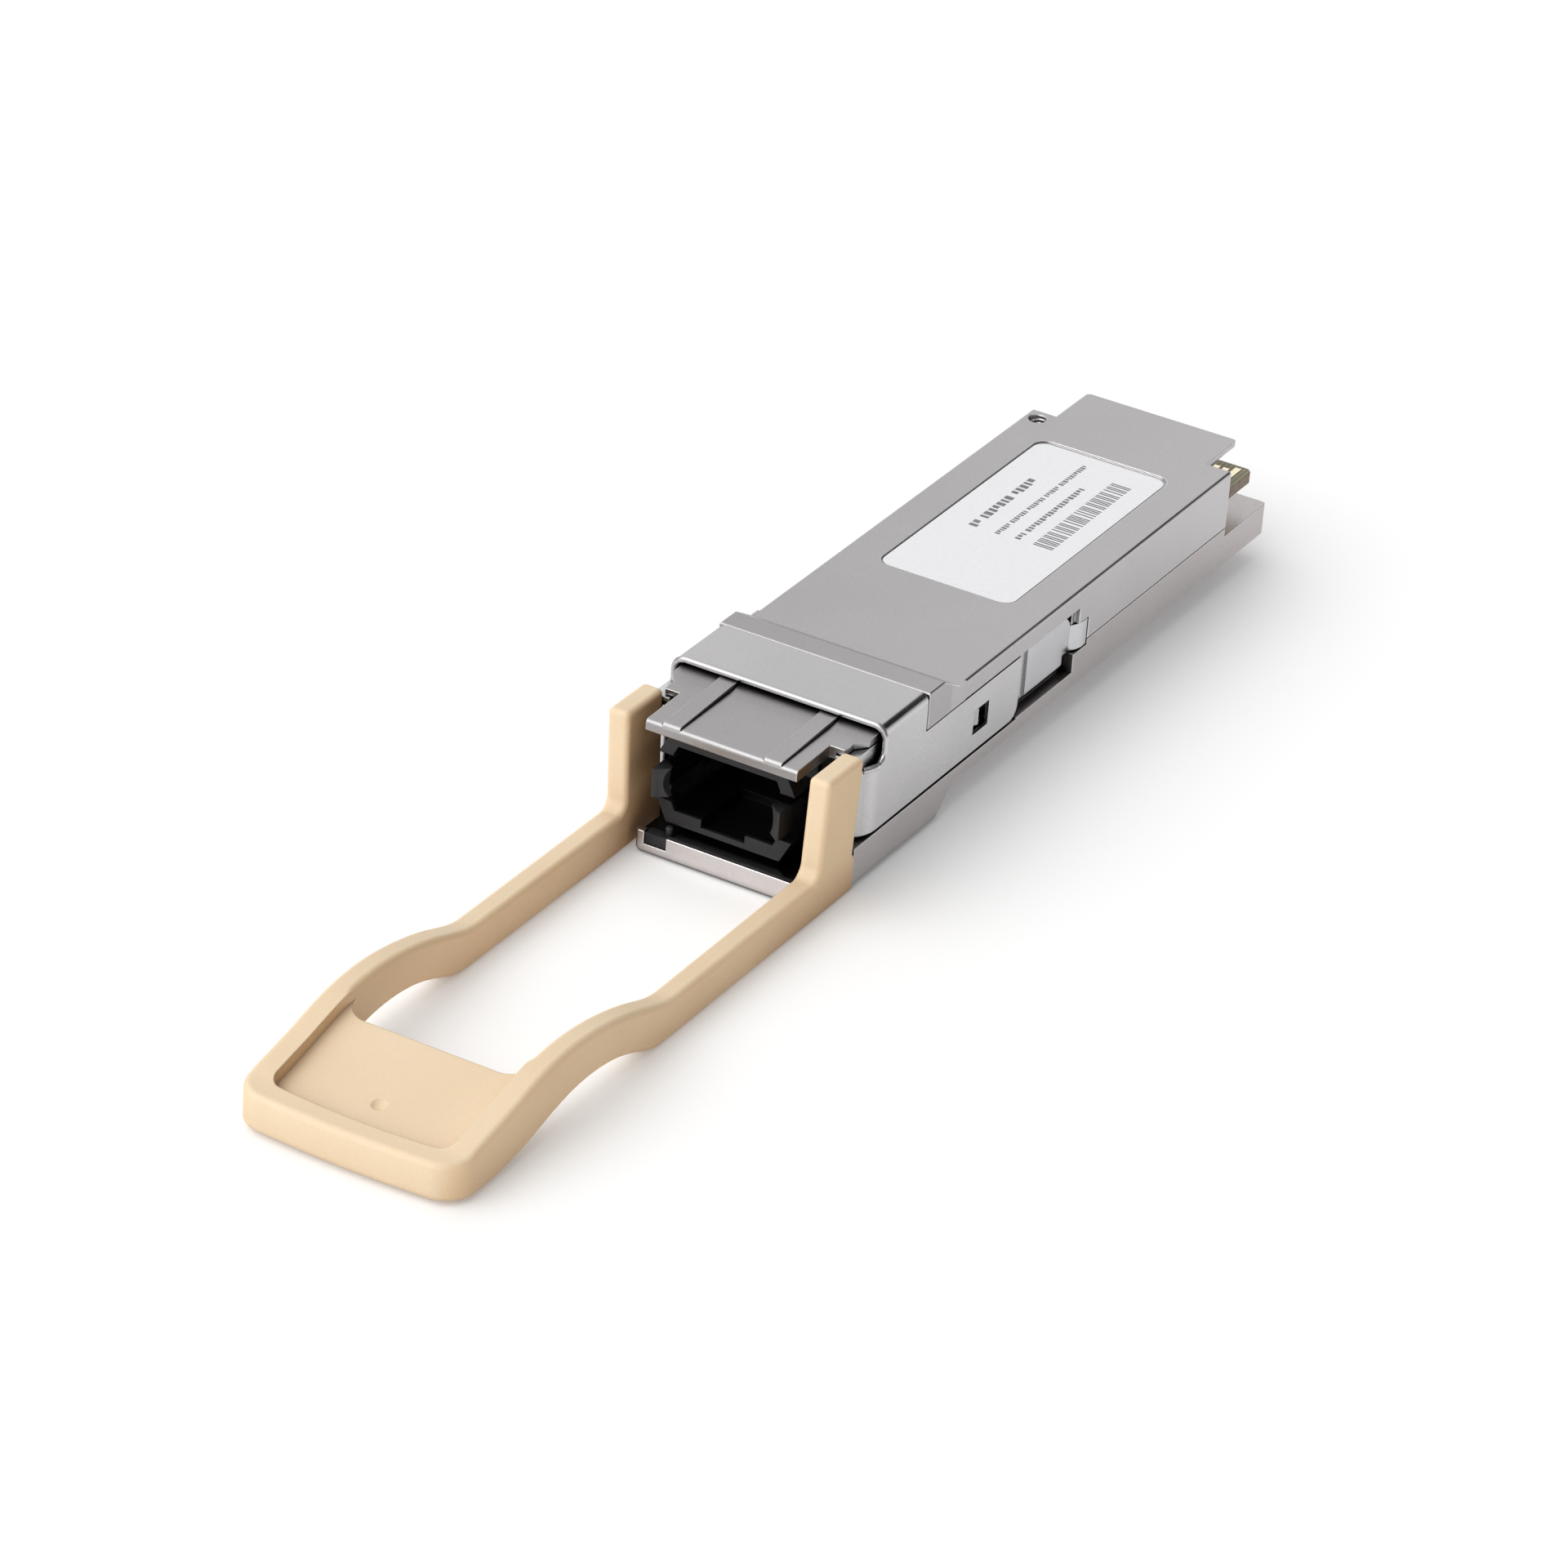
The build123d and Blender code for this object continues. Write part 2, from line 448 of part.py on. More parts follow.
DIMPLE_Y = -114.7         # middle and radius of the ball that leaves the shallow dimple
DIMPLE_Z = 1.5
DIMPLE_R = 1.0
UPRIGHT_ROOT_R = 1.0
UPRIGHT_FOOT_R = 0.9


def web_cutter(line, far_z):
    """What lies beyond a smooth line of the handle, up or down to far_z."""
    curve = Spline([(0, y, z) for y, z in line])
    back = Polyline((0, *line[-1]), (0, line[-1][0], far_z), (0, line[0][0], far_z), (0, *line[0]))
    return side_plate(make_face(curve + back), (-8, 8))


def shifted(line, dz):
    return [(y, z + dz) for y, z in line]


def handle_outline(half_width, rear_y, front_y, bow, corner_r):
    """Plan view with a gently bowed front edge and round front corners."""
    edges = Polyline((half_width, front_y + bow), (half_width, rear_y), (-half_width, rear_y),
                     (-half_width, front_y + bow))
    front = ThreePointArc((-half_width, front_y + bow), (0, front_y), (half_width, front_y + bow))
    face = make_face(edges + front)
    return fillet(face.vertices().sort_by(Axis.Y)[:2], corner_r)


def make_upright():
    """The right-hand upright: it leans out a little, and its front runs down into the tab's arm."""
    rear_y = UPRIGHT_Y[1]
    front_y = UPRIGHT_Y[0]
    foot_y = front_y - UPRIGHT_ROOT_R
    root_z = TAB_ARM_TOP_Z + UPRIGHT_ROOT_R
    bulge = UPRIGHT_ROOT_R * (1 - math.sqrt(0.5))
    outline = Polyline((0, foot_y, TAB_ARM_TOP_Z), (0, foot_y, TAB_LOW_Z), (0, rear_y, TAB_LOW_Z),
                       (0, rear_y, UPRIGHT_TOP_Z), (0, front_y, UPRIGHT_TOP_Z), (0, front_y, root_z))
    outline += ThreePointArc((0, front_y, root_z), (0, front_y - bulge, TAB_ARM_TOP_Z + bulge),
                             (0, foot_y, TAB_ARM_TOP_Z))
    upright = side_plate(make_face(outline), (TAB_INNER, UPRIGHT_X[1]))
    front_view = Polyline((TAB_INNER, TAB_LOW_Z), (TAB_INNER, TAB_ARM_TOP_Z), (UPRIGHT_X[0], UPRIGHT_TOP_Z),
                          (UPRIGHT_X[1], UPRIGHT_TOP_Z), (TAB_HALF_W, TAB_ARM_TOP_Z), (TAB_HALF_W, TAB_LOW_Z),
                          close=True)
    lean = extrude(Pos(0, foot_y - 1, 0) * make_face(Plane.XZ * front_view), rear_y - foot_y + 2, dir=(0, 1, 0))
    upright &= lean
    long_edges = [e for e in upright.edges() if e.bounding_box().size.Z > UPRIGHT_ROOT_R / 2
                  and e.center().Z > TAB_ARM_TOP_Z]
    upright = fillet(long_edges + upright.edges().group_by(Axis.Z)[-1], TAB_EDGE_R)
    low_rear = upright.edges().filter_by(Axis.X).group_by(Axis.Z)[0].sort_by(Axis.Y)[-1]
    return fillet(low_rear, UPRIGHT_FOOT_R)


def make_pull_tab():
    """Soft moulding: two uprights, two arms and an arched handle with a recessed web."""
    level = (0, -1, 0)
    rear_y = UPRIGHT_Y[1]
    upper = Spline([(0, y, z) for y, z in HUMP_TOP], tangents=[level, level])
    lower = Spline([(0, y, z) for y, z in HUMP_LOW], tangents=[(0, 1, 0.05), (0, 1, 0)])
    outline = [Line((0, rear_y, TAB_ARM_TOP_Z), upper @ 0), upper, Line(upper @ 1, lower @ 0), lower,
               Line(lower @ 1, (0, rear_y, TAB_LOW_Z)),
               Line((0, rear_y, TAB_LOW_Z), (0, rear_y, TAB_ARM_TOP_Z))]
    body = side_plate(make_face(outline), (-TAB_HALF_W, TAB_HALF_W))
    body &= plan_plate(handle_outline(TAB_HALF_W, rear_y, TAB_FRONT_Y, 0.5, HANDLE_CORNER_R), (-4, 6))
    gap = wide(TAB_INNER, (WINDOW_FRONT_Y, rear_y + 1), (-4, 12))
    body -= fillet(corners(gap, (WINDOW_FRONT_Y - 1, WINDOW_FRONT_Y + 1)), 1.9)
    soft = [e for e in body.edges() if e.bounding_box().max.Y < rear_y - 0.01 or e.length > 10]
    soft = [e for e in soft if e.bounding_box().size.Z < 2.5 or e.bounding_box().size.Y > 1.5]
    body = fillet(soft, TAB_EDGE_R)

    recess_plan = plan_plate(
        handle_outline(TAB_INNER, WINDOW_FRONT_Y + 3, RECESS_FRONT_Y, 0.4, 1.3), (-6, 8))
    body -= web_cutter(shifted(HUMP_TOP, -WEB_DROP), 8) & recess_plan
    body -= web_cutter(shifted(HUMP_TOP, -WEB_DROP - WEB_T), -6) & recess_plan
    body -= Pos(0, DIMPLE_Y, DIMPLE_Z) * Sphere(DIMPLE_R)

    body += both(make_upright())
    return body - both(make_slider_arm())


# ---------------------------------------------------------------- receptacle

def octagon(half_w, low_z, high_z, cut_x, cut_z):
    """A rectangle in the front view with its four corners cut off."""
    points = [(half_w, low_z + cut_z), (half_w, high_z - cut_z), (half_w - cut_x, high_z),
              (cut_x - half_w, high_z), (-half_w, high_z - cut_z), (-half_w, low_z + cut_z),
              (cut_x - half_w, low_z), (half_w - cut_x, low_z)]
    return make_face(Plane.XZ * Polyline(*points, close=True))


def along(face, y):
    """A front view face pulled from the first y to the second."""
    return extrude(Pos(0, y[0], 0) * face, y[1] - y[0], dir=(0, 1, 0))


RING_HALF_W = 5.85        # outline of the front ring, and how much its corners are cut
RING_Z = (0.38, 8.0)
RING_CUT = (0.95, 1.85)
REAR_HALF_W = 6.3
PORT_REAR_Y = -60.2
BODY_REAR_Y = -54.0
PORT_Z = (1.5, 7.0)
PORT_HALF_W = 4.6
KEY_HALF_W = 1.9
KEY_Z = 0.85
LATCH_GAP_Z = (2.2, 6.1)
LATCH_GAP_X = 4.55
LATCH_X = (5.1, 5.5)
LATCH_Z = (3.0, 5.4)
LATCH_FRONT_Y = -70.25
LATCH_FOOT_X = 6.2
HOOK_LEAD_X = 5.37        # outer end of the hook's slanted lead-in
HOOK_TIP_X = 4.35
HOOK_TIP_Y = (-69.4, -69.1)
HOOK_ROOT_Y = -68.5
SCOOP_X = 2.75            # the round hollow that guides the plug's body
SCOOP_R = 2.0
FERRULE_HALF = (3.2, 1.25)
FERRULE_FLANGE_HALF = (3.65, 1.6)


def make_mpo_receptacle():
    """Receptacle: an eight-sided front ring, roof, floor, and a rear block round the ferrule."""
    ring = along(octagon(RING_HALF_W, *RING_Z, *RING_CUT), (RING_Y, RING_Y + 1.5))
    ring -= along(octagon(PORT_HALF_W, PORT_Z[0], PORT_Z[1], 0.35, 0.7), (RING_Y - 1, RING_Y + 3))
    roof = wide(4.9, (RING_Y, BODY_REAR_Y), (PORT_Z[1], RING_Z[1]))
    floor = wide(4.9, (RING_Y, BODY_REAR_Y), (RING_Z[0], PORT_Z[0]))
    rear = wide(REAR_HALF_W, (PORT_REAR_Y, BODY_REAR_Y), RING_Z)
    body = ring + roof + floor + rear
    body -= wide(KEY_HALF_W, (RING_Y - 1, RING_Y + 6), (KEY_Z, PORT_Z[0] + 0.5))
    body -= both(block((LATCH_GAP_X, 7), (RING_Y - 1, PORT_REAR_Y), LATCH_GAP_Z))
    half_x, half_z = FERRULE_HALF
    clear = 0.05
    body -= wide(half_x + clear, (PORT_REAR_Y - 1, -56.4), (AXIS_Z - half_z - clear, AXIS_Z + half_z + clear))
    half_x, half_z = FERRULE_FLANGE_HALF
    body -= wide(half_x + clear, (-56.5, BODY_REAR_Y + 1), (AXIS_Z - half_z - clear, AXIS_Z + half_z + clear))

    # tray on the nose floor, with a raised plate, a stub and the tab that fills the lower lip's notch
    tray = wide(HALF_LOWER_LIP - 0.1, (-69.2, -65.1), (NOSE_FLOOR_Z + 0.05, -0.75))
    raised_points = [(5.8, -69.2), (4.5, -68.2), (4.5, -66.0), (-3.9, -66.0), (-3.9, -69.2)]
    raised = plan_plate(make_face(Polyline(*raised_points, close=True)), (-0.8, -0.45))
    web = wide(3.0, (-66.8, -66.0), (-0.5, 0.5))
    stub = Pos(-4.35, -69.0, -0.25) * Cylinder(0.32, 1.1)
    stub = fillet(stub.edges().group_by(Axis.Z)[-1], 0.2)
    tab_x = (NOTCH_X[0] + 0.05, NOTCH_X[1] - 0.05)
    tab = block(tab_x, (NOSE_Y + 0.1, NOSE_Y + 1.1), (NOTCH_Z + 0.05, -0.45))
    return body + tray + raised + web + stub + tab


def make_mpo_latch_clip():
    """The right-hand of the two spring arms: its hook has a slanted and scooped lead-in."""
    arm = block(LATCH_X, (LATCH_FRONT_Y + 0.2, PORT_REAR_Y - 0.05), (LATCH_Z[0] + 0.1, LATCH_Z[1] - 0.1))
    hook_points = [(HOOK_LEAD_X, LATCH_FRONT_Y), (HOOK_TIP_X, HOOK_TIP_Y[0]), (HOOK_TIP_X, HOOK_TIP_Y[1]),
                   (LATCH_X[0], HOOK_ROOT_Y), (LATCH_X[1], HOOK_ROOT_Y), (LATCH_X[1], LATCH_FRONT_Y + 0.1)]
    hook = plan_plate(make_face(Polyline(*hook_points, close=True)), LATCH_Z)
    hook -= Pos(SCOOP_X, HOOK_TIP_Y[0], sum(LATCH_Z) / 2) * (Rot(90, 0, 0) * Cylinder(SCOOP_R, 6))
    foot_y = (PORT_REAR_Y - 1.2, PORT_REAR_Y - 0.05)
    foot = block((LATCH_X[0], LATCH_FOOT_X), foot_y, (LATCH_Z[0] + 0.1, LATCH_Z[1] - 0.1))
    return arm + hook + foot


GUIDE_PIN_X = 2.3
GUIDE_PIN_R = 0.35


def make_mt_ferrule():
    half_x, half_z = FERRULE_HALF
    front = wide(half_x, (FERRULE_Y, -56.4), (AXIS_Z - half_z, AXIS_Z + half_z))
    half_x, half_z = FERRULE_FLANGE_HALF
    back = wide(half_x, (-56.45, -53.2), (AXIS_Z - half_z, AXIS_Z + half_z))
    ferrule = front + back
    for x in (-GUIDE_PIN_X, GUIDE_PIN_X):
        ferrule -= Pos(x, -57, AXIS_Z) * (Rot(90, 0, 0) * Cylinder(GUIDE_PIN_R + 0.01, 10))
    ferrule -= wide(1.65, (-55.0, -53.0), (AXIS_Z - 0.5, AXIS_Z + 0.5))
    return ferrule


def make_guide_pins():
    pin = Pos(GUIDE_PIN_X, -57.25, AXIS_Z) * (Rot(90, 0, 0) * Cylinder(GUIDE_PIN_R, 10.4))
    tip = pin.edges().group_by(Axis.Y)[0]
    return both(chamfer(tip, 0.12))


def make_pin_clamp():
    clamp = wide(3.4, (-53.15, -51.4), (AXIS_Z - 1.3, AXIS_Z + 1.3))
    clamp -= wide(1.75, (-54, -50), (AXIS_Z - 0.75, AXIS_Z + 0.75))
    for x in (-GUIDE_PIN_X, GUIDE_PIN_X):
        clamp -= Pos(x, -53, AXIS_Z) * (Rot(90, 0, 0) * Cylinder(GUIDE_PIN_R + 0.01, 2.4))
    return clamp


def make_ferrule_boot():
    boot = wide(1.6, (-54.95, -50.6), (AXIS_Z - 0.45, AXIS_Z + 0.45))
    return boot - wide(1.42, (-56, -50), (AXIS_Z - 0.2, AXIS_Z + 0.2))


def make_emi_gasket():
    """Conductive frame between the receptacle and the shells."""
    frame = wide(HALF_HEAD_CAVITY, (-58.4, -57.2), (HEAD_FLOOR_Z, LIP_UNDER_Z))
    return frame - wide(REAR_HALF_W, (-59, -57), RING_Z)


# ---------------------------------------------------------------- board and optics

PAD_PITCH = 0.8
PADS_PER_SIDE = 19
PAD_W = 0.54
PAD_T = 0.04
PAD_FRONT_Y = -3.4
GROUND_PADS = (0, 3, 6, 12, 15, 18)   # these reach further back and touch first
PAD_REAR_Y = -0.3
GROUND_REAR_Y = 0.25


def make_main_board():
    card = wide(HALF_CARD, (CARD_FRONT_Y, BOARD_REAR_Y), BOARD_Z)
    card = chamfer(corners(card, (0, 1)), 0.35)
    board = wide(HALF_BOARD, (BOARD_FRONT_Y, CARD_FRONT_Y + 1), BOARD_Z)
    return card + board


def make_edge_contacts(z):
    pads = []
    for i in range(PADS_PER_SIDE):
        x = (i - (PADS_PER_SIDE - 1) / 2) * PAD_PITCH
        rear_y = GROUND_REAR_Y if i in GROUND_PADS else PAD_REAR_Y
        pads.append(block((x - PAD_W / 2, x + PAD_W / 2), (PAD_FRONT_Y, rear_y), z))
    return Part() + pads


LENS_Y = (-45.0, -39.5)
LENS_TOP_Z = 7.0
DIE_Y = -41.5
RIBBON_HALF_W = 1.4
RIBBON_T = 0.25
RIBBON_END_Z = 6.55


def make_lens_block():
    lens = wide(2.6, LENS_Y, (BOARD_Z[1], LENS_TOP_Z))
    lens -= wide(2.1, (LENS_Y[0] + 1.2, LENS_Y[1] - 0.5), (BOARD_Z[1] - 0.1, BOARD_Z[1] + 0.45))
    mirror_cut = side_face([(-41.9, LENS_TOP_Z + 0.1), (-41.1, LENS_TOP_Z + 0.1), (-41.1, 6.55)])
    lens -= side_plate(mirror_cut, (-1.7, 1.7))
    lens -= wide(RIBBON_HALF_W + 0.05, (LENS_Y[0] - 1, LENS_Y[0] + 0.9),
                 (RIBBON_END_Z - RIBBON_T / 2 - 0.03, RIBBON_END_Z + RIBBON_T / 2 + 0.03))
    return lens


def make_fibre_ribbon():
    """Twelve fibres side by side: straight out of the ferrule, an S-bend up, into the lens block."""
    start = (-54.9, AXIS_Z)
    bend_1 = (-50.4, AXIS_Z)
    bend_2 = (-47.0, RIBBON_END_Z)
    end = (LENS_Y[0] + 0.85, RIBBON_END_Z)
    line = FilletPolyline([(0, *p) for p in (start, bend_1, bend_2, end)], radius=2.2)
    section = Plane(origin=line @ 0, z_dir=line % 0, x_dir=(1, 0, 0)) * Rectangle(2 * RIBBON_HALF_W, RIBBON_T)
    return sweep(section, line)


CHIP_T = 0.6
DRIVER = ((-3.4, -0.5), (-37.2, -33.6))
RECEIVER = ((0.5, 3.4), (-37.2, -33.6))


def on_board(x, y, height):
    return block(x, y, (BOARD_Z[1], BOARD_Z[1] + height))


def under_board(x, y, height):
    return block(x, y, (BOARD_Z[0] - height, BOARD_Z[0]))


def chip_row(centres, size, height):
    """Identical small parts on the board, from their centres."""
    half_x, half_y = size[0] / 2, size[1] / 2
    return Part() + [on_board((x - half_x, x + half_x), (y - half_y, y + half_y), height) for x, y in centres]


CAPACITORS = [(x, y) for y in (-30.5, -28.8) for x in (-4.8, -3.2, -1.6, 0, 1.6, 3.2, 4.8)] + [
    (x, -10.2) for x in (-5.6, -4.0, -2.4, -0.8, 0.8, 2.4, 4.0, 5.6)]
RESISTORS = [(x, y) for x in (-5.6, 5.6) for y in (-40.5, -38.7, -36.9, -35.1, -33.3)]
INDUCTORS = [(-4.2, -17.0), (-4.2, -20.4)]

nodes = {
    "upper_housing": make_upper_housing(),
    "lower_housing": make_lower_housing(),
    "housing_screws": make_housing_screws(),
    "nose_sleeve": make_nose_sleeve(),
    "label": make_label(),
    "emi_gasket": make_emi_gasket(),
    "mpo_receptacle": make_mpo_receptacle(),
    "mpo_latch_arms": both(make_mpo_latch_clip()),
    "mt_ferrule": make_mt_ferrule(),
    "guide_pins": make_guide_pins(),
    "pin_clamp": make_pin_clamp(),
    "ferrule_boot": make_ferrule_boot(),
    "fibre_ribbon": make_fibre_ribbon(),
    "lens_block": make_lens_block(),
    "vcsel_array": on_board((-1.6, -0.4), (DIE_Y - 0.15, DIE_Y + 0.15), 0.15),
    "photodiode_array": on_board((0.4, 1.6), (DIE_Y - 0.15, DIE_Y + 0.15), 0.15),
    "driver_chip": on_board(*DRIVER, CHIP_T),
    "receiver_chip": on_board(*RECEIVER, CHIP_T),
    "microcontroller": under_board((-2.5, 2.5), (-25.0, -20.0), 0.85),
    "crystal": on_board((1.6, 3.6), (-19.0, -17.4), 0.5),
    "capacitors": chip_row(CAPACITORS, (0.5, 1.0), 0.5),
    "resistors": chip_row(RESISTORS, (0.6, 0.3), 0.25),
    "inductors": chip_row(INDUCTORS, (2.5, 2.5), 1.1),
    "main_board": make_main_board(),
    "edge_contacts_top": make_edge_contacts((BOARD_Z[1], BOARD_Z[1] + PAD_T)),
    "edge_contacts_bottom": make_edge_contacts((BOARD_Z[0] - PAD_T, BOARD_Z[0])),
    "thermal_pad_upper": wide(3.4, (-37.2, -33.6), (BOARD_Z[1] + CHIP_T, CAVITY_ROOF_Z)),
    "thermal_pad_lower": block(*PEDESTAL, (PEDESTAL_Z, BOARD_Z[0])),
    "slider_arm_right": make_slider_arm(),
    "slider_arm_left": mirror(make_slider_arm(), about=Plane.YZ),
    "return_spring_right": make_return_spring(),
    "return_spring_left": mirror(make_return_spring(), about=Plane.YZ),
    "pull_tab": make_pull_tab(),
}

os.makedirs("parts", exist_ok=True)
for name, part in nodes.items():
    export_step(part, f"parts/{name}.step")
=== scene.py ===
import math

import bpy
import bmesh
from mathutils import Matrix, Vector


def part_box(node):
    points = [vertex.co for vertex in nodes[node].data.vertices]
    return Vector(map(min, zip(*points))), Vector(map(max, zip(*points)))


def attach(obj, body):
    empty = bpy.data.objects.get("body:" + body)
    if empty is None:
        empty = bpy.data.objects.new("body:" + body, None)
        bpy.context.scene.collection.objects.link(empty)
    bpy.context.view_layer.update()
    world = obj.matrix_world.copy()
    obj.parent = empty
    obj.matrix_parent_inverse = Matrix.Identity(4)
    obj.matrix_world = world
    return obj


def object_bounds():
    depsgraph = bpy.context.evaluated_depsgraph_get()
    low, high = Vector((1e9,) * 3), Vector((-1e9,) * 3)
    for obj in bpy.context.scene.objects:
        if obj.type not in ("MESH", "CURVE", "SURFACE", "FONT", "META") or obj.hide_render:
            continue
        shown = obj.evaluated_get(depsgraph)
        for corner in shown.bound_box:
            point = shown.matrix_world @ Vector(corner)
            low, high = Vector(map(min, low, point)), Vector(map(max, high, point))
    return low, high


MM = 0.001

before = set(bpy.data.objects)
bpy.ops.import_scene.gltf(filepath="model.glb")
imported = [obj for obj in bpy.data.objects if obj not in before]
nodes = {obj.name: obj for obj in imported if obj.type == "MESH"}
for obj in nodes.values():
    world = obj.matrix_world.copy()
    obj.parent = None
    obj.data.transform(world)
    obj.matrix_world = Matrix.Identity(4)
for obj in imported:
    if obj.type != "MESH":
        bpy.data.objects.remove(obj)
cad_low, cad_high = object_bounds()
HOUSING = "housing"
SLIDER = "release_slider"


# ---------------------------------------------------------------- shader helpers

class Shader:
    """A principled material with helpers for the procedural nodes that feed it."""

    def __init__(self, name, **sockets):
        self.material = bpy.data.materials.new(name)
        self.material.use_nodes = True
        self.tree = self.material.node_tree
        self.bsdf = self.tree.nodes["Principled BSDF"]
        for socket, value in sockets.items():
            self.bsdf.inputs[socket.replace("_", " ")].default_value = value
        self.place = self.add("ShaderNodeTexCoord").outputs["Object"]

    def add(self, kind, links=None, **settings):
        node = self.tree.nodes.new(kind)
        for key, value in settings.items():
            setattr(node, key, value)
        for key, value in (links or {}).items():
            self.feed(node.inputs[key], value)
        return node

    def feed(self, socket, value):
        if isinstance(value, bpy.types.NodeSocket):
            self.tree.links.new(value, socket)
        else:
            socket.default_value = value

    def set(self, socket, value):
        self.feed(self.bsdf.inputs[socket], value)

    def stretched(self, factors):
        return self.add("ShaderNodeMapping", {"Vector": self.place, "Scale": factors}).outputs[0]

    def noise(self, size_mm, detail=4.0, rough=0.55, stretch=None):
        """Noise whose features are about size_mm across, from 0 to 1."""
        where = self.place if stretch is None else self.stretched(stretch)
        node = self.add("ShaderNodeTexNoise", {
            "Vector": where, "Scale": 1.0 / (size_mm * MM), "Detail": detail, "Roughness": rough,
            "Distortion": 0.0})
        return node.outputs["Fac"]

    def span(self, value, low, high, from_low=0.0, from_high=1.0):
        """The value taken from one range to another, clamped."""
        return self.add("ShaderNodeMapRange", {
            0: value, 1: from_low, 2: from_high, 3: low, 4: high}).outputs[0]

    def math(self, operation, a, b=0.0):
        return self.add("ShaderNodeMath", {0: a, 1: b}, operation=operation).outputs[0]

    def mix(self, factor, a, b, blend="MIX"):
        node = self.add("ShaderNodeMix", data_type="RGBA", blend_type=blend)
        self.feed(node.inputs[0], factor)
        self.feed(node.inputs[6], a)
        self.feed(node.inputs[7], b)
        return node.outputs[2]

    def dimmed(self, body, factor):
        """A colour times a factor."""
        scale = self.add("ShaderNodeCombineXYZ", {0: factor, 1: factor, 2: factor}).outputs[0]
        return self.mix(1.0, body, scale, "MULTIPLY")

    def shade(self, gap, zones):
        """The painted shade factor of a gap, times a painted light or shade factor for each (axis, start,
        end, low, high) zone.
        """
        factor = self.crevice(*gap)
        for zone in zones:
            factor = self.math("MULTIPLY", factor, self.along(*zone))
        return factor

    def edges(self, radius_mm):
        """0 on flat faces, rising to 1 where the surface turns within the radius."""
        soft = self.add("ShaderNodeBevel", {"Radius": radius_mm * MM}, samples=6).outputs[0]
        flat = self.add("ShaderNodeNewGeometry").outputs["True Normal"]
        dot = self.add("ShaderNodeVectorMath", {0: soft, 1: flat}, operation="DOT_PRODUCT").outputs["Value"]
        return self.span(dot, 1.0, 0.0, 0.80, 0.999)

    def crevice(self, reach_mm, low, hidden=0.15, open_=0.6):
        """A painted shade factor, from ambient occlusion, that falls to low where the surface lies deep in
        a gap of about this reach.
        """
        ao = self.add("ShaderNodeAmbientOcclusion", {"Distance": reach_mm * MM}, samples=8)
        return self.span(ao.outputs["AO"], low, 1.0, hidden, open_)

    def along(self, axis, start_mm, end_mm, low=0.0, high=1.0):
        """Low before start and high after end along an axis of the object's frame."""
        place = self.add("ShaderNodeSeparateXYZ", {0: self.place}).outputs[axis]
        return self.span(place, low, high, start_mm * MM, end_mm * MM)

    def bumps(self, layers, rounding_mm=0.0):
        """Bump layers of (height, depth in mm), over edges rounded by a bevel."""
        normal = None
        if rounding_mm:
            normal = self.add("ShaderNodeBevel", {"Radius": rounding_mm * MM}, samples=6).outputs[0]
        for height, depth in layers:
            links = {"Height": height, "Distance": depth * MM, "Strength": 1.0}
            if normal is not None:
                links["Normal"] = normal
            normal = self.add("ShaderNodeBump", links).outputs[0]
        self.set("Normal", normal)
        return self.material


def rgb(r, g, b):
    return (r, g, b, 1.0)


def times(color, factor):
    return rgb(*[c * factor for c in color])


# ---------------------------------------------------------------- materials

# a painted highlight: the lighter colour that rounded metal edges take
EDGE_HIGHLIGHT = rgb(0.90, 0.89, 0.88)


def nickel(name, tint, rough, grain_mm, grain_depth, rounding_mm, gap, zones=()):
    """Nickel plating: satin, a fine grain, cloudy patches, polished edges that also carry a painted
    highlight in their colour, painted shade in crevices and painted light and shade by zone.
    """
    s = Shader(name, Metallic=1.0)
    cloud = s.noise(7.0, 3.0, 0.5)
    grain = s.noise(grain_mm, 3.0, 0.6)
    mottle = s.noise(grain_mm * 3.5, 4.0, 0.65)
    edge = s.edges(rounding_mm * 1.6)
    body = s.mix(s.span(cloud, 0.0, 1.0, 0.35, 0.65), times(tint, 0.96), times(tint, 1.03))
    body = s.mix(s.span(grain, 0.0, 0.25, 0.3, 0.7), body, times(tint, 0.82))
    body = s.mix(s.span(mottle, 0.0, 0.30, 0.45, 0.7), body, times(tint, 0.80))
    # painted highlight: edges take the lighter colour
    body = s.mix(edge, body, EDGE_HIGHLIGHT)
    # painted shade in crevices, times painted light and shade by zone
    s.set("Base Color", s.dimmed(body, s.shade(gap, zones)))
    cloudy = s.span(cloud, rough - 0.03, rough + 0.03, 0.3, 0.7)
    matt = s.math("ADD", cloudy, s.span(grain, -0.03, 0.05, 0.3, 0.7))
    s.set("Roughness", s.math("MULTIPLY", matt, s.span(edge, 1.0, 0.55)))
    return s.bumps([(mottle, grain_depth * 2.0), (grain, grain_depth)], rounding_mm)


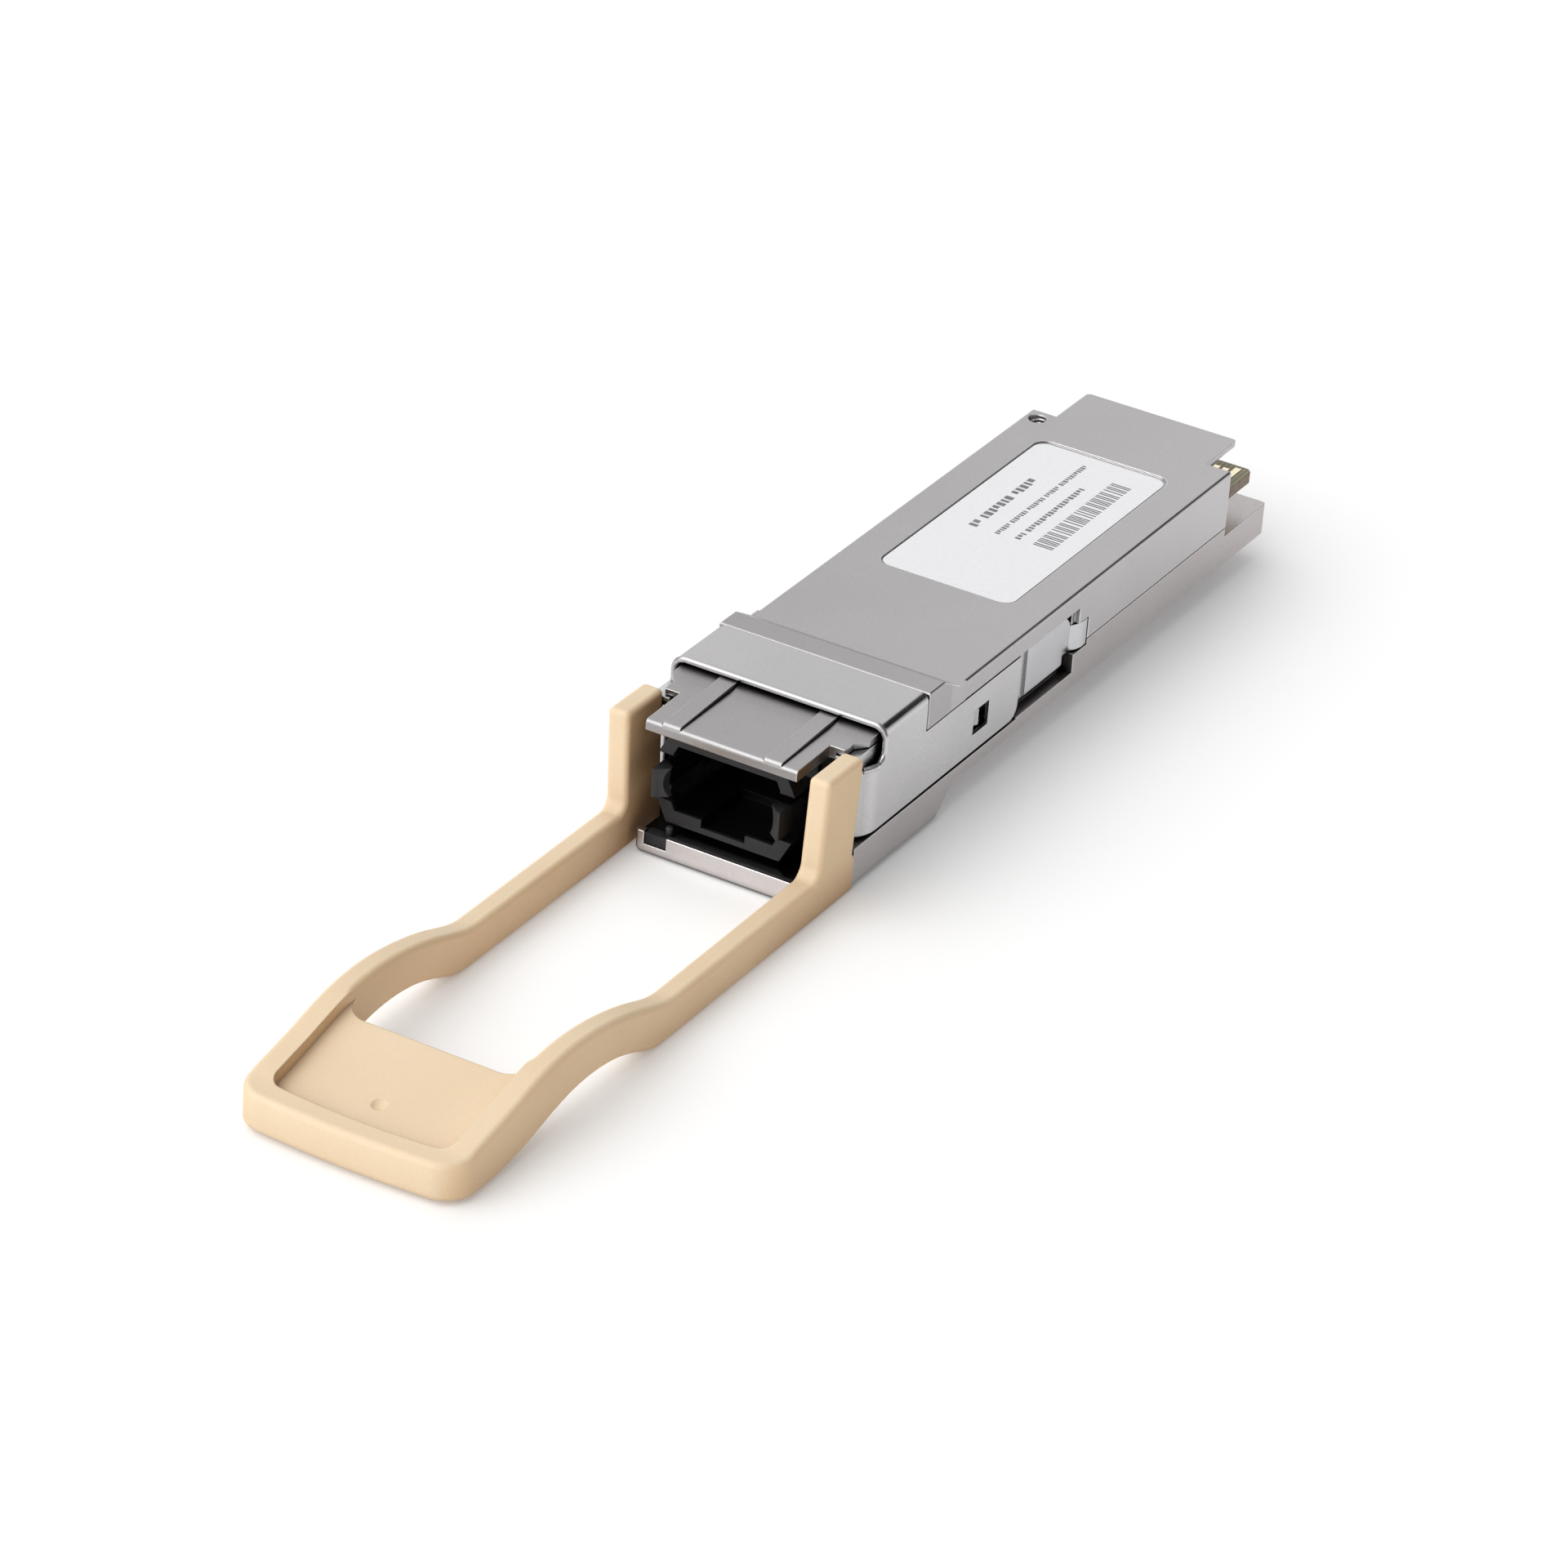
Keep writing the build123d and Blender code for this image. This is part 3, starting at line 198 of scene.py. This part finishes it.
def beige_polymer():
    """Soft moulded polymer: warm cream, faint sparkle texture, a little light inside, a painted warmer
    shade on faces turned sideways and painted shade in crevices.
    """
    s = Shader("beige_polymer", Roughness=0.5)
    cloud = s.noise(9.0, 3.0, 0.5)
    speck = s.noise(0.16, 2.0, 0.6)
    body = s.mix(s.span(cloud, 0.0, 1.0, 0.3, 0.7), rgb(0.77, 0.605, 0.415), rgb(0.80, 0.645, 0.455))
    body = s.mix(s.span(speck, 0.0, 0.35, 0.35, 0.75), body, rgb(0.72, 0.54, 0.34))
    # painted shade: faces turned sideways take a warmer, darker colour, standing in for light scattered
    # inside
    facing = s.add("ShaderNodeSeparateXYZ", {0: s.add("ShaderNodeNewGeometry").outputs["True Normal"]})
    sideways = s.span(s.math("ABSOLUTE", facing.outputs["X"]), 0.0, 1.0, 0.3, 0.9)
    body = s.mix(sideways, body, s.mix(1.0, body, rgb(1.04, 0.955, 0.85), "MULTIPLY"))
    # painted shade in crevices, full at the nose and behind it, weaker towards the tab's front
    near_the_nose = s.along("Y", -80, -71, 0.4, 1.0)
    shade = s.math("MULTIPLY", s.span(s.crevice(5.0, 0.0, 0.35, 0.9), 1.0, 0.0), near_the_nose)
    s.set("Base Color", s.mix(shade, body, s.mix(1.0, body, rgb(0.50, 0.39, 0.29), "MULTIPLY")))
    s.set("Roughness", s.span(speck, 0.42, 0.60, 0.3, 0.7))
    s.set("Subsurface Weight", 0.12)
    s.set("Subsurface Radius", (0.9, 0.55, 0.3))
    s.set("Subsurface Scale", 0.0008)
    s.set("Specular IOR Level", 0.35)
    return s.bumps([(speck, 0.006), (s.noise(0.9, 2.0), 0.01)], 0.15)


def plastic(name, color, rough, grain_mm=0.12, depth=0.003, rounding_mm=0.06, specular=0.5, gap=None,
            zones=()):
    """Moulded plastic and the like: a fine grain over soft clouds, with painted shade in crevices times
    painted light and shade by zone if it has a gap.
    """
    s = Shader(name, Roughness=rough)
    cloud = s.noise(2.5, 4.0, 0.6)
    grain = s.noise(grain_mm, 3.0, 0.6)
    body = s.mix(s.span(cloud, 0.0, 1.0, 0.3, 0.7), times(color, 0.85), times(color, 1.2))
    # painted shade in crevices and by zone, when a gap is given
    if gap:
        body = s.dimmed(body, s.shade(gap, zones))
    s.set("Base Color", body)
    grainy = s.span(grain, rough - 0.06, rough + 0.06, 0.3, 0.7)
    s.set("Roughness", s.math("ADD", grainy, s.span(cloud, -0.04, 0.04)))
    s.set("Specular IOR Level", specular)
    return s.bumps([(grain, depth)], rounding_mm)


def board_laminate():
    """Green solder mask over copper traces, with bare brown glass laminate on the cut edges."""
    s = Shader("board_laminate", Roughness=0.35)
    split = s.add("ShaderNodeSeparateXYZ", {0: s.place})
    geometry = s.add("ShaderNodeNewGeometry")
    up = s.add("ShaderNodeSeparateXYZ", {0: geometry.outputs["True Normal"]}).outputs["Z"]
    flat = s.math("GREATER_THAN", s.math("ABSOLUTE", up), 0.5)
    weave = s.noise(0.25, 3.0, 0.6, (0.3, 1.0, 3.0))
    traces = s.math("SINE", s.math("MULTIPLY", split.outputs["X"], 2 * math.pi / (0.4 * MM)))
    trace = s.span(traces, 0.0, 1.0, 0.2, 0.5)
    mask = s.mix(trace, rgb(0.20, 0.17, 0.09), rgb(0.40, 0.34, 0.20))
    mask = s.mix(s.span(s.noise(1.5), 0.0, 0.4), mask, rgb(0.12, 0.11, 0.06))
    cut = s.mix(s.span(weave, 0.0, 1.0, 0.35, 0.65), rgb(0.16, 0.12, 0.09), rgb(0.42, 0.34, 0.27))
    s.set("Base Color", s.mix(flat, cut, mask))
    s.set("Roughness", s.span(flat, 0.75, 0.35))
    return s.bumps([(trace, 0.012), (weave, 0.01)], 0.05)


def gold():
    """Gold plating, wiped along Y."""
    s = Shader("gold_plating", Metallic=1.0)
    scratch = s.noise(0.12, 3.0, 0.6, (1.0, 0.06, 1.0))
    worn = s.span(scratch, 0.0, 1.0, 0.35, 0.65)
    s.set("Base Color", s.mix(worn, rgb(0.92, 0.80, 0.55), rgb(0.98, 0.88, 0.66)))
    s.set("Roughness", s.span(scratch, 0.18, 0.34, 0.3, 0.7))
    return s.bumps([(scratch, 0.002)], 0.02)


def label_film():
    """White film: faint paper-like mottling and a slightly rolled cut edge."""
    s = Shader("label_film", Roughness=0.42)
    fibre = s.noise(0.35, 5.0, 0.6)
    mottle = s.span(fibre, 0.0, 1.0, 0.35, 0.65)
    s.set("Base Color", s.mix(mottle, rgb(0.78, 0.78, 0.80), rgb(0.82, 0.82, 0.835)))
    s.set("Roughness", s.span(fibre, 0.36, 0.50, 0.3, 0.7))
    return s.bumps([(fibre, 0.003)], 0.03)


# zones are painted light and shade: they brighten or darken a look along the object's frame: (axis, start,
# end, low, high); gaps
# are painted shade in crevices: the reach, the lowest factor, and the openness below and above which it is
# lowest and 1
NICKEL = (0.49, 0.475, 0.48)
# painted light and shade on the casting: darker towards -X and towards the front, lighter on the right side
# face
CASTING_ZONES = [("X", -9, 9, 0.92, 1.0), ("Y", -51.6, -51.2, 0.86, 1.0), ("Y", -45, -5, 0.94, 1.0),
                 ("X", 9.05, 9.15, 1.0, 1.12)]
# painted light on the front face of the lower lip
LOWER_ZONES = [("Y", -69.8, -69.0, 1.45, 1.0)]
# painted light on the sleeve's right side face, painted shade inside it
SHEET_ZONES = [("X", 8.8, 9.1, 0.94, 1.16)]
# painted shade in seams and small gaps
FINE_GAP = (0.6, 0.15)
# painted shade deep in the side pockets
POCKET_GAP = (1.2, 0.04, 0.35, 0.85)
# painted shade on the slider arms where the sleeve shades them
ARM_GAP = (0.8, 0.25, 0.3, 0.8)
# painted shade in the port and its recesses
PORT_GAP = (4.0, 0.02, 0.25, 0.85)
# painted shade deep inside the port, darker further in
PORT_ZONES = [("Y", -68.9, -68.3, 1.0, 0.03)]
paint = {
    "nickel_upper": nickel("nickel_upper", NICKEL, 0.32, 0.09, 0.0022, 0.11, FINE_GAP, CASTING_ZONES),
    "nickel_lower": nickel("nickel_lower", (0.51, 0.478, 0.472), 0.33, 0.10, 0.0026, 0.11, POCKET_GAP,
                           LOWER_ZONES),
    "nickel_sheet": nickel("nickel_sheet", (0.525, 0.515, 0.518), 0.25, 0.07, 0.0010, 0.06, FINE_GAP,
                           SHEET_ZONES),
    "nickel_arm": nickel("nickel_arm", (0.64, 0.64, 0.66), 0.24, 0.07, 0.0010, 0.06, ARM_GAP),
    "spring_wire": nickel("spring_wire", NICKEL, 0.25, 0.05, 0.0008, 0.02, FINE_GAP),
    "screw_steel": nickel("screw_steel", (0.55, 0.55, 0.55), 0.3, 0.08, 0.0015, 0.05, FINE_GAP),
    "beige": beige_polymer(),
    "black": plastic("black_plastic", (0.034, 0.034, 0.037), 0.40, specular=0.3, gap=PORT_GAP,
                     zones=PORT_ZONES),
    "ferrule": plastic("ferrule_plastic", (0.07, 0.07, 0.08), 0.4),
    "boot": plastic("boot_rubber", (0.04, 0.04, 0.04), 0.7),
    "gasket": plastic("gasket_rubber", (0.09, 0.09, 0.09), 0.75, 0.2, 0.01),
    "chip": plastic("chip_package", (0.03, 0.03, 0.035), 0.5, 0.08, 0.004),
    "die": plastic("semiconductor", (0.15, 0.16, 0.2), 0.15, 0.05, 0.0005),
    "ferrite": plastic("inductor_ferrite", (0.08, 0.08, 0.08), 0.6, 0.1, 0.006),
    "ceramic": plastic("capacitor_ceramic", (0.38, 0.27, 0.18), 0.5, 0.06, 0.003),
    "resistor": plastic("resistor_body", (0.03, 0.03, 0.04), 0.4, 0.05, 0.002),
    "pad": plastic("thermal_pad", (0.45, 0.5, 0.62), 0.8, 0.15, 0.01),
    "ribbon": plastic("ribbon_coating", (0.10, 0.42, 0.52), 0.3, 0.25, 0.01),
    "lens": plastic("lens_plastic", (0.48, 0.26, 0.07), 0.12, 0.3, 0.001),
    "board": board_laminate(),
    "gold": gold(),
    "label": label_film(),
    "ink": plastic("print_ink", (0.05, 0.05, 0.055), 0.5, 0.05, 0.0005, 0.0),
    "ink_light": plastic("print_ink_light", (0.16, 0.16, 0.17), 0.5, 0.05, 0.0005, 0.0),
    "nickel_thread": nickel("nickel_thread", (0.75, 0.74, 0.73), 0.16, 0.05, 0.0004, 0.02, FINE_GAP),
}

LOOKS = {
    "upper_housing": "nickel_upper", "lower_housing": "nickel_lower", "nose_sleeve": "nickel_sheet",
    "slider_arm_right": "nickel_arm", "slider_arm_left": "nickel_arm", "housing_screws": "screw_steel",
    "return_spring_right": "spring_wire", "return_spring_left": "spring_wire", "guide_pins": "screw_steel",
    "pin_clamp": "screw_steel", "crystal": "screw_steel", "pull_tab": "beige", "mpo_receptacle": "black",
    "mpo_latch_arms": "black", "mt_ferrule": "ferrule", "ferrule_boot": "boot", "emi_gasket": "gasket",
    "driver_chip": "chip", "receiver_chip": "chip", "microcontroller": "chip", "vcsel_array": "die",
    "photodiode_array": "die", "inductors": "ferrite", "capacitors": "ceramic", "resistors": "resistor",
    "thermal_pad_upper": "pad", "thermal_pad_lower": "pad", "fibre_ribbon": "ribbon", "lens_block": "lens",
    "main_board": "board", "edge_contacts_top": "gold", "edge_contacts_bottom": "gold", "label": "label",
}
for name, look in LOOKS.items():
    obj = nodes[name]
    obj.data.materials.clear()
    obj.data.materials.append(paint[look])


# ---------------------------------------------------------------- added pieces

def add_piece(name, mesh, look, body=HOUSING, smooth=False):
    mesh.materials.append(paint[look])
    for face in mesh.polygons:
        face.use_smooth = smooth
    obj = bpy.data.objects.new(name, mesh)
    bpy.context.collection.objects.link(obj)
    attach(obj, body)
    return obj


def mesh_from(name, bm):
    mesh = bpy.data.meshes.new(name)
    bmesh.ops.recalc_face_normals(bm, faces=bm.faces)
    bm.to_mesh(mesh)
    bm.free()
    return mesh


HOLE_X, HOLE_Y = -7.96, -6.71
HOLE_R = 0.72
THREAD_DEPTH = 0.16
THREAD_PITCH = 0.3
THREAD_TURNS = 5
THREAD_HALF_H = 0.13      # at its root
THREAD_TOP_Z = 8.18
THREAD_STEPS = 48         # in one turn
FADE_STEPS = 16           # over which the ridge rises from the wall
ROOT_R = HOLE_R + 0.02


def hole_thread():
    """The thread of the open screw hole: a ridge that winds down its wall."""
    bm = bmesh.new()
    profile = [(ROOT_R, THREAD_HALF_H), (HOLE_R - THREAD_DEPTH, 0.0), (ROOT_R, -THREAD_HALF_H)]
    rings = []
    for i in range(THREAD_STEPS * THREAD_TURNS + 1):
        turns = i / THREAD_STEPS
        angle = 2 * math.pi * turns
        z = THREAD_TOP_Z - THREAD_PITCH * turns
        fade = min(1.0, i / FADE_STEPS)
        ring = []
        for r, dz in profile:
            r = ROOT_R - (ROOT_R - r) * fade
            x = HOLE_X + r * math.cos(angle)
            y = HOLE_Y + r * math.sin(angle)
            ring.append(bm.verts.new((MM * x, MM * y, MM * (z + dz))))
        rings.append(ring)
    for a, b in zip(rings, rings[1:]):
        for k in range(3):
            bm.faces.new((a[k], a[(k + 1) % 3], b[(k + 1) % 3], b[k]))
    bm.faces.new(rings[0])
    bm.faces.new(rings[-1][::-1])
    add_piece("hole_thread", mesh_from("hole_thread", bm), "nickel_thread", smooth=True)


INK_LIFT = 0.004


def ink(name, strips, look):
    """Flat printed strips on the label, from (x low, x high, y low, y high)."""
    bm = bmesh.new()
    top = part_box("label")[1][2] / MM + INK_LIFT
    for x0, x1, y0, y1 in strips:
        corners = [(x0, y0), (x1, y0), (x1, y1), (x0, y1)]
        low = [bm.verts.new((MM * x, MM * y, MM * (top - 2 * INK_LIFT))) for x, y in corners]
        high = [bm.verts.new((MM * x, MM * y, MM * top)) for x, y in corners]
        bm.faces.new(high)
        bm.faces.new(low[::-1])
        for k in range(4):
            bm.faces.new((low[k], low[(k + 1) % 4], high[(k + 1) % 4], high[k]))
    add_piece(name, mesh_from(name, bm), look)


def bar_pattern():
    """Bars of one to four modules with gaps of one to three, the same every time."""
    module = 0.135
    x_low, x_high = 2.35, 4.1
    y, y_end = -26.3, -12.7
    strips = []
    i = 0
    while y < y_end:
        bar = (1, 2, 1, 3, 1, 1, 2, 4)[(i * 5 + i // 3) % 8]
        gap = (1, 2, 1, 1, 3, 2)[(i * 7 + i // 4) % 6]
        strips.append((x_low, x_high, y, y + bar * module))
        y += (bar + gap) * module
        i += 1
    return strips


def print_line(x, y, size, gap, words):
    """A line of plain blocks along Y in place of print, with wider gaps between words."""
    strips = []
    i = 0
    start = y[0]
    while start < y[1]:
        length = size * (0.85, 1.1, 0.7, 1.0)[(i * 3 + i // 5) % 4]
        x_high = x[1] - (x[1] - x[0]) * (0.0, 0.0, 0.25)[(i * 2 + i // 4) % 3]
        strips.append((x[0], x_high, start, start + length))
        i += 1
        start += length + gap * (3.0 if i in words else 1.0)
    return strips


hole_thread()
ink("label_bars", bar_pattern(), "ink")
ink("label_title", print_line((-3.35, -2.6), (-26.5, -16.4), 0.5, 0.22, (2, 9)), "ink_light")
ink("label_lines", print_line((-1.0, -0.55), (-26.5, -11.7), 0.26, 0.13, (6, 13, 20, 26)) +
    print_line((0.7, 1.2), (-26.3, -15.7), 0.34, 0.16, (3,)), "ink_light")


# ---------------------------------------------------------------- floor, light and camera

floor_z = cad_low.z
bpy.ops.mesh.primitive_plane_add(size=6.0, location=(0, 0, floor_z))
floor = bpy.context.object
floor.name = "floor"
s = Shader("floor_white", Roughness=0.9)
s.set("Base Color", rgb(0.86, 0.86, 0.86))
s.set("Specular IOR Level", 0.0)
s.set("Emission Color", rgb(1.0, 1.0, 1.0))
s.set("Emission Strength", 0.16)
floor.data.materials.append(s.material)

# the studio: a dim room with soft boxes and a dark card, each given by its direction, its outer
# and inner half angle in degrees and its radiance (for the card, how much of the light it leaves)
ROOM = 0.28
SOFTBOXES = [
    ((-0.45, 0.45, 0.77), 62, 30, 0.78),
    ((-0.40, -0.55, 0.73), 42, 12, 1.6),
    ((-0.20, -0.94, 0.28), 60, 25, 1.05),
    ((0.66, 0.74, 0.08), 22, 10, 0.45),
]
CARD = ((0.27, 0.77, 0.58), 30, 17, 0.02)
world = bpy.data.worlds.new("studio")
bpy.context.scene.world = world
world.use_nodes = True
tree = world.node_tree
direction = tree.nodes.new("ShaderNodeTexCoord").outputs["Generated"]


def patch(toward, outer, inner, low, high):
    """A value that goes from low to high inside a cone of directions."""
    dot = tree.nodes.new("ShaderNodeVectorMath")
    dot.operation = "DOT_PRODUCT"
    tree.links.new(direction, dot.inputs[0])
    dot.inputs[1].default_value = Vector(toward).normalized()
    ramp = tree.nodes.new("ShaderNodeMapRange")
    ramp.interpolation_type = "SMOOTHSTEP"
    tree.links.new(dot.outputs["Value"], ramp.inputs[0])
    ends = (math.cos(math.radians(outer)), math.cos(math.radians(inner)), low, high)
    for socket, value in enumerate(ends, 1):
        ramp.inputs[socket].default_value = value
    return ramp.outputs[0]


def combine(operation, a, b):
    node = tree.nodes.new("ShaderNodeMath")
    node.operation = operation
    for socket, value in enumerate((a, b)):
        if isinstance(value, float):
            node.inputs[socket].default_value = value
        else:
            tree.links.new(value, node.inputs[socket])
    return node.outputs[0]


total = ROOM
for toward, outer, inner, radiance in SOFTBOXES:
    total = combine("ADD", total, patch(toward, outer, inner, 0.0, radiance))
total = combine("MULTIPLY", total, patch(*CARD[:3], 1.0, CARD[3]))
tree.links.new(total, tree.nodes["Background"].inputs["Strength"])
tree.nodes["Background"].inputs["Color"].default_value = rgb(1.0, 1.0, 1.0)

CAMERA_PLACE = (0.20639, -0.43986, 0.24632)
AZIMUTH, ELEVATION, ROLL = (math.radians(v) for v in (28.50, 29.54, -4.345))
back = Vector((math.sin(AZIMUTH) * math.cos(ELEVATION), -math.cos(AZIMUTH) * math.cos(ELEVATION),
               math.sin(ELEVATION)))
right = Vector((math.cos(AZIMUTH), math.sin(AZIMUTH), 0))
up = back.cross(right)
axes = Matrix((right, up, back)).transposed() @ Matrix.Rotation(-ROLL, 3, "Z")
camera = bpy.data.objects.new("camera", bpy.data.cameras.new("camera"))
bpy.context.collection.objects.link(camera)
camera.matrix_world = Matrix.Translation(CAMERA_PLACE) @ axes.to_4x4()
camera.data.sensor_width = 36.0
camera.data.lens = 151.70
camera.data.clip_start, camera.data.clip_end = 0.01, 20.0
bpy.context.scene.camera = camera
bpy.context.scene.view_settings.view_transform = "Standard"
